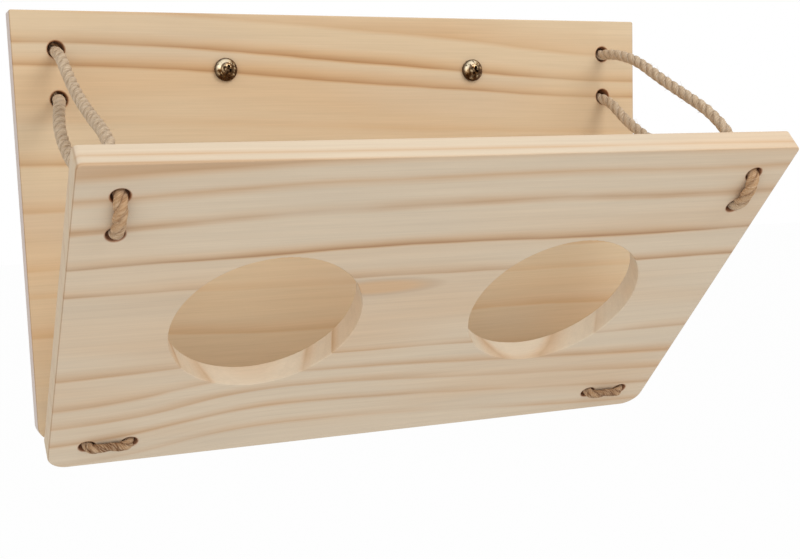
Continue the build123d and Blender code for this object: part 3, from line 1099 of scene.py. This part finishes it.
def jute_finish():
    """The ropes' finish, out of what each corner of a strand stands for."""
    finish, tree, shader = new_finish("jute", 0.85, level=0.2)
    labels = ("around", "along", "depth", "tint", "brown")
    facts = [add(tree, "Attribute", attribute_name=label).outputs["Fac"] for label in labels]
    around, along, depth, tint, brown = facts
    ring = sums(tree, "MULTIPLY_ADD", along, -FIBRE_SLANT, around)
    angle = times(tree, ring, 2 * math.pi)
    places = [sums(tree, "COSINE", angle), sums(tree, "SINE", angle)]
    places.append(sums(tree, "ADD", along, times(tree, tint, TINT_STEP)))
    strand = add(tree, "CombineXYZ", enumerate(places)).outputs[0]
    fibres = noise(tree, strand, (9, 9, 240), 3.0, 0.65)
    clumps = noise(tree, strand, (2.0, 2.0, 420), 2.0)

    # Painted shade: the grooves between the strands are darkened, as shade falls there.
    light = ramp(tree, depth, [(0.7, 0.0), (0.84, 0.6), (1.0, 1.0)])
    base = mix(tree, light, colour(100, 66, 40), colour(208, 182, 150))
    dark_fibres = sums(tree, "MULTIPLY_ADD", fibres, 3.6, -1.6, clamp=True)
    base = lay_over(tree, base, dark_fibres, 0.65, colour(146, 106, 72))
    pale_clumps = sums(tree, "MULTIPLY_ADD", clumps, 2.8, -1.0, clamp=True)
    base = lay_over(tree, base, pale_clumps, 0.65, colour(236, 218, 192))
    uneven = sums(tree, "MULTIPLY_ADD", clumps, -0.8, 1.3, clamp=True)
    brown = times(tree, brown, uneven)
    base = mix(tree, brown, base, colour(236, 214, 192), "MULTIPLY")
    wire(tree, shader, base, None, fibres, 0.9, 0.3 * MM)
    return finish


jute = jute_finish()
for piece in [*ropes.values(), *knots.values()]:
    dress(piece, jute)

# %% [markdown]
# ## Metals
# Plating is never quite even: it is cloudy and finely scratched. The brass's cloudy dark patches
# are partly painted dark reflections. Its screw head has a painted highlight on its upper left
# side, and painted dark reflections on its rim and in spots, more of them on its lower right. Its
# recess is brown. The finish knows them by how far each point is from the screw's own axis.

# %% Metals


def worn_metal(name, bright, dull, roughness, patches, aged=None):
    """A plated metal with dull patches and fine scratches. Another function can paint light and
    shade on it.
    """
    finish, tree, shader = new_finish(name, roughness, metallic=1.0)
    point = add(tree, "TexCoord").outputs["Object"]
    cloud = noise(tree, point, (patches, patches, patches), 3.0, 0.6)
    cloud = between(tree, cloud, 0.36, 0.66)
    base = mix(tree, cloud, colour(*dull), colour(*bright))
    if aged:
        base = aged(tree, point, base)
    rough = sums(tree, "MULTIPLY_ADD", cloud, -0.14, roughness + 0.1)
    scratch = noise(tree, point, (900, 3200, 2600), 2.0)
    wire(tree, shader, base, rough, scratch, 0.15, 0.05 * MM)
    return finish


def painted_head_light(tree, point, base):
    """A screw head with a painted highlight on its upper left side, painted dark reflections on its
    rim and in spots towards its lower right, and a brown recess.
    """
    axes = add(tree, "SeparateXYZ", {0: point}).outputs
    middle = times(tree, sums(tree, "SIGN", axes[0]), SCREW_X)
    across = sums(tree, "SUBTRACT", axes[0], middle)
    from_axis = length_of(tree, across, axes[2])
    down = times(tree, axes[2], -0.83)
    away = sums(tree, "ADD", times(tree, across, 0.55), down)
    # Painted highlight: the upper left side is made paler, where a light is reflected.
    painted_highlight = opposite(tree, between(tree, away, -3.4 * MM, -1.6 * MM))
    base = lay_over(tree, base, painted_highlight, 0.7, colour(250, 236, 206))
    # Painted dark reflections: brown spots, more of them towards the lower right.
    dark_reflection_spots = noise(tree, point, (640, 640, 640), 2.0, 0.6)
    dark_reflection_spots = sums(tree, "MULTIPLY_ADD", between(tree, away, -2.4 * MM, 3.0 * MM), 0.2, dark_reflection_spots)
    dark_reflection_spots = between(tree, dark_reflection_spots, 0.56, 0.66)
    sunk = between(tree, axes[1], head_top + 0.1 * MM, head_top + 0.7 * MM)
    under = between(tree, axes[1], HEAD_SEAT - 1.5 * MM, HEAD_SEAT - 0.5 * MM)
    recess = sums(tree, "SUBTRACT", sunk, under)
    inside = opposite(tree, between(tree, from_axis, 2.8 * MM, 3.1 * MM))
    inside = times(tree, inside, between(tree, from_axis, 0.5 * MM, 0.9 * MM))
    # Painted dark reflection round the rim.
    brown = between(tree, from_axis, 4.0 * MM, 4.9 * MM)
    for share in (times(tree, recess, inside), dark_reflection_spots):
        brown = sums(tree, "MAXIMUM", brown, share)
    return lay_over(tree, base, brown, 0.9, colour(62, 36, 14))


# The brass's dark dull patches are partly painted dark reflections.
brass = worn_metal("aged_brass", (216, 190, 150), (104, 72, 38), 0.24, 520, painted_head_light)
zinc = worn_metal("zinc_plate", (196, 198, 201), (166, 169, 174), 0.32, 420)
for name, piece in metal_pieces.items():
    dress(piece, brass if "screw" in name else zinc)
print("metal pieces:", len(metal_pieces))

# %% [markdown]
# ## Floor, light and background
# The floor and the background show white to the camera and in reflections, but the light that they
# give the boards is softer. The floor keeps a faint shadow.

# %% Floor and world
FLOOR_Z = -0.45


def seen_directly(tree):
    """1 for a ray from the camera, a mirror or through glass, and 0 for other light."""
    rays = add(tree, "LightPath").outputs
    seen = sums(tree, "ADD", rays["Is Camera Ray"], rays["Is Glossy Ray"])
    return sums(tree, "ADD", seen, rays["Is Transmission Ray"], clamp=True)


floor = fresh(bpy.ops.mesh.primitive_plane_add, size=12, location=(0, 0, FLOOR_Z))
floor.name = "floor"
floor_paint, tree, shader = new_finish("floor_paint", 0.9, level=0.0)
shader.inputs["Base Color"].default_value = colour(240, 240, 240)
glow = add(tree, "Emission", {"Color": (1, 1, 1, 1), "Strength": 1.0}).outputs[0]
share = times(tree, seen_directly(tree), 0.97)
shown = add(tree, "MixShader", {0: share, 1: shader.outputs[0], 2: glow}).outputs[0]
tree.links.new(shown, tree.nodes["Material Output"].inputs["Surface"])
dress(floor, floor_paint)

world = bpy.context.scene.world or bpy.data.worlds.new("studio")
bpy.context.scene.world = world
world.use_nodes = True
tree = world.node_tree
tree.nodes.clear()
soft = add(tree, "Background", {"Color": (1, 1, 1, 1), "Strength": 0.66}).outputs[0]
white = add(tree, "Background", {"Color": (1, 1, 1, 1), "Strength": 1.0}).outputs[0]
sky = add(tree, "MixShader", {0: seen_directly(tree), 1: soft, 2: white}).outputs[0]
add(tree, "OutputWorld", {"Surface": sky})

# %% Lamps
LAMP_AIM = Vector((0, -0.05, -0.08))


def soft_lamp(name, place, size, power):
    """A square lamp that faces the feeder."""
    lamp = fresh(bpy.ops.object.light_add, type="AREA", location=place)
    lamp.name = name
    lamp.data.size = size
    lamp.data.energy = power
    lamp.rotation_euler = (LAMP_AIM - Vector(place)).to_track_quat("-Z", "Y").to_euler()


soft_lamp("key", (0.5, -0.9, 0.7), 0.8, 7.0)
soft_lamp("fill", (-0.9, -0.9, 0.2), 1.0, 3.4)

bpy.context.scene.view_settings.view_transform = "Standard"
